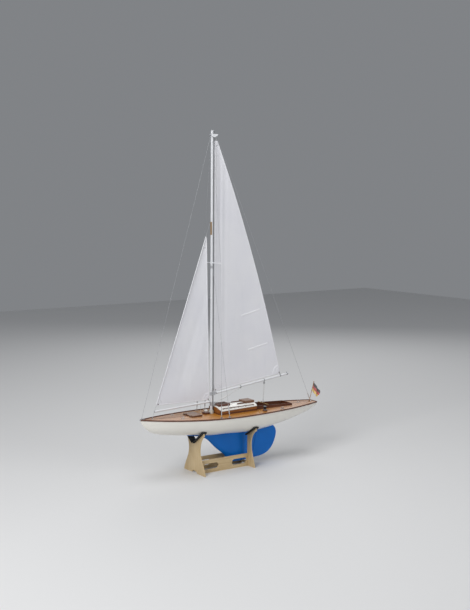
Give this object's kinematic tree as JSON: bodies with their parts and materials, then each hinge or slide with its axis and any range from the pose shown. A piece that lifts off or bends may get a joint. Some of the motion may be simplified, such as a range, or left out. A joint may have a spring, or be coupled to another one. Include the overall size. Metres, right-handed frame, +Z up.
{
  "type": "rc sailboat",
  "caption": "Radio-controlled sailing yacht with white hull, long blue keel, planked deck, main and jib on swinging booms, resting in a plywood cradle.",
  "frame": {"origin": "on the surface the cradle stands on, in the centre plane, midway between the bow rail and the flag's trailing edge", "axes": "+X towards the bow, +Y to port, +Z up along the mast"},
  "size_m": [1.0381, 0.253, 1.5999],
  "materials": {
    "hull_white": "gloss",
    "deck_teak": "varnished",
    "mahogany": "varnished",
    "hatch_top": "satin",
    "ply": "sanded",
    "keel_blue": "gloss",
    "lead": "dull",
    "brass": "polished",
    "steel": "satin",
    "black_plastic": "matte",
    "cabin_white": "satin",
    "cream": "satin",
    "smoked": "gloss",
    "well_brown": "satin",
    "chrome": "polished",
    "spar": "anodised",
    "tan": "matte",
    "sailcloth": "smooth",
    "batten": "satin",
    "cord": "braided",
    "staff": "varnished",
    "flag_cloth": "woven",
    "pad_black": "matte"
  },
  "bodies": {
    "stand": {"stand_frames": "ply", "stand_panels": "ply", "stand_pads": "pad_black"},
    "main_rig": {"boom_toggle": "steel", "main_boom": "spar", "boom_fittings": "black_plastic", "boom_vang": "steel", "mainsail": "sailcloth", "sail_battens": "batten", "main_lines": "cord"},
    "jib_rig": {"jib_boom": "spar", "jib_fittings": "brass", "jib": "sailcloth", "jib_lines": "cord"},
    "rudder": {"rudder_blade": "keel_blue", "rudder_stock": "steel"},
    "servo_horn": {"servo_horn": "black_plastic"},
    "pushrod": {"pushrod": "steel"},
    "winch_drum": {"winch_drum": "black_plastic"},
    "companion_hatch": {"companion_hatch": "mahogany"},
    "fore_hatch_lid": {"fore_hatch_lid": "hatch_top"},
    "boat": {"hull_shell": "hull_white", "deck": "deck_teak", "rub_rail": "mahogany", "roof_rails": "mahogany", "skylight_frame": "mahogany", "cockpit_coamings": "mahogany", "hatch_coaming": "mahogany", "deck_blocks": "mahogany", "cockpit_seats": "hatch_top", "bulkheads": "ply", "radio_tray": "ply", "keel_fin": "keel_blue", "keel_ballast": "lead", "rudder_tube": "brass", "deck_brassware": "brass", "hatch_hinge_pins": "steel", "stay_plates": "steel", "mast_brackets": "steel", "shrouds": "steel", "stays": "steel", "jib_stay": "steel", "turnbuckles": "steel", "masthead_crane": "steel", "radio_gear": "black_plastic", "cabin_sides": "cabin_white", "coachroof": "cabin_white", "vent_cowl": "cabin_white", "mast_step": "cream", "skylight_glass": "smoked", "cockpit_well": "well_brown", "mooring_cleats": "chrome", "deck_winches": "chrome", "mast": "spar", "spreaders": "spar", "hounds_band": "tan", "mainsheet": "cord", "jib_sheet": "cord", "flagstaff": "staff", "flag": "flag_cloth"}
  },
  "joints": [
    {"name": "boat_lift", "type": "slide", "parent": "stand", "child": "boat", "axis": [0, 0, 1], "range_m": [0, 0.2]},
    {"name": "main_swing", "type": "hinge", "parent": "boat", "child": "main_rig", "pos_m": [0.11568, 0, 0.36778], "axis": [-0.007, 0, 1], "range_deg": [-70, 70]},
    {"name": "jib_swing", "type": "hinge", "parent": "boat", "child": "jib_rig", "pos_m": [0.45275, 0, 0.29], "axis": [-0.3351, 0, 0.9422], "range_deg": [-60, 60]},
    {"name": "rudder_turn", "type": "hinge", "parent": "boat", "child": "rudder", "pos_m": [-0.10025, 0, 0.027], "axis": [-0.1994, 0, 0.9799], "range_deg": [-35, 35]},
    {"name": "servo_turn", "type": "hinge", "parent": "boat", "child": "servo_horn", "pos_m": [-0.06003, 0, 0.23061], "axis": [-0.1994, 0, 0.9799], "range_deg": [-36, 36]},
    {"name": "pushrod_pivot", "type": "hinge", "parent": "servo_horn", "child": "pushrod", "pos_m": [-0.06003, -0.016, 0.23061], "axis": [-0.1994, 0, 0.9799], "range_deg": [-36, 36]},
    {"name": "winch_turn", "type": "hinge", "parent": "boat", "child": "winch_drum", "pos_m": [0.01775, 0, 0.2236], "axis": [0, 0, 1], "range_deg": [-360, 360]},
    {"name": "hatch_slide", "type": "slide", "parent": "boat", "child": "companion_hatch", "axis": [1, 0, 0], "range_m": [0, 0.045]},
    {"name": "hatch_hinge", "type": "hinge", "parent": "boat", "child": "fore_hatch_lid", "pos_m": [0.26725, 0, 0.28207], "axis": [0, 1, 0], "range_deg": [0, 30]}
  ],
  "couplings": [
    {"joint": "servo_turn", "follows": "rudder_turn", "ratio": 1},
    {"joint": "pushrod_pivot", "follows": "rudder_turn", "ratio": -1}
  ]
}
